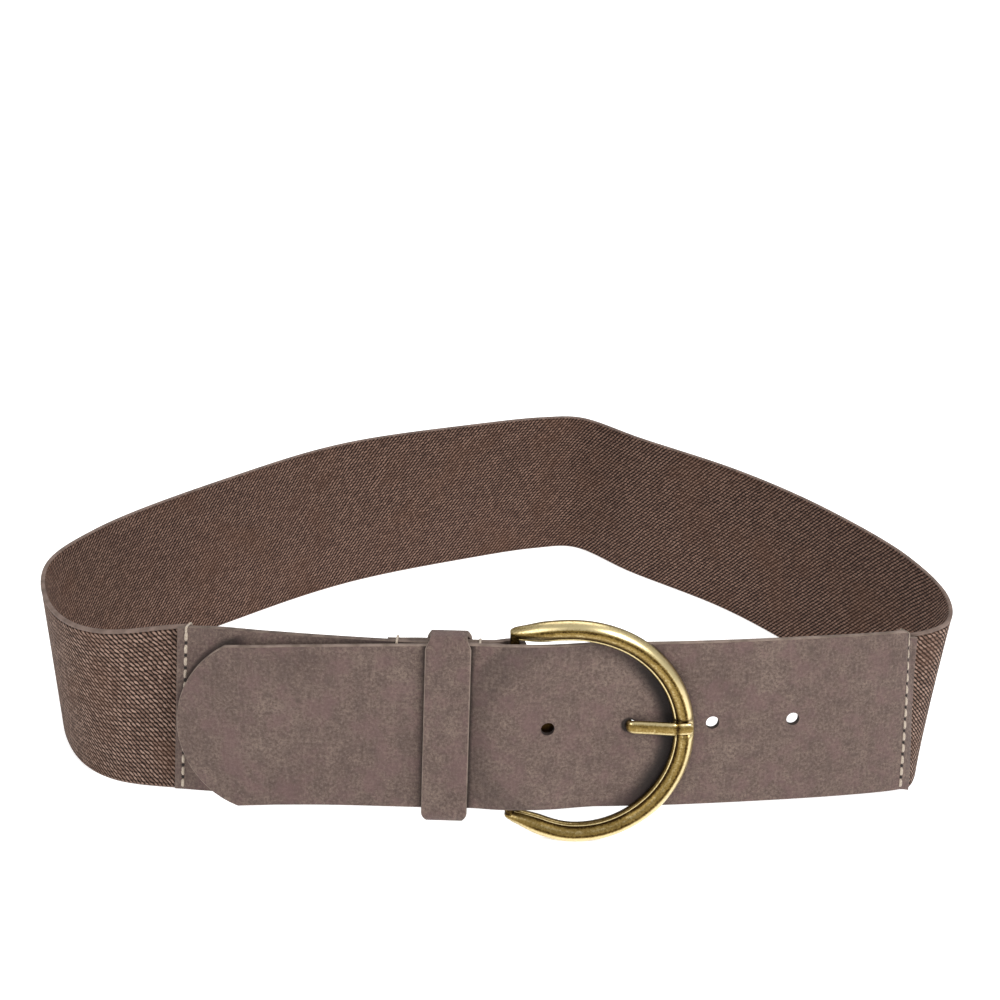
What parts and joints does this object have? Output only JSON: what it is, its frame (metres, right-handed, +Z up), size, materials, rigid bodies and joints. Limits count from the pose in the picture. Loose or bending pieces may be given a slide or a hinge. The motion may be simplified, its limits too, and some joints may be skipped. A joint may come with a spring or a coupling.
{
  "type": "elastic stretch belt",
  "caption": "Wide woven elastic waist belt with leather ends, fastened with a horseshoe buckle, prong and keeper, standing on its edge.",
  "frame": {"origin": "middle of the belt's bounding box, on the surface that it stands on", "axes": "+Z up, -Y towards the front with the buckle, +X along the front towards the punched strap's sewn end"},
  "size_m": [0.3918, 0.253, 0.0981],
  "materials": {
    "elastic": "ribbed weave",
    "leather": "matt, softly mottled",
    "brass": "antique, satin"
  },
  "bodies": {
    "root": {"elastic_band": "elastic", "buckle_strap": "leather", "billet_strap": "leather", "keeper_loop": "leather", "buckle_frame": "brass", "buckle_prong": "brass"}
  },
  "joints": []
}
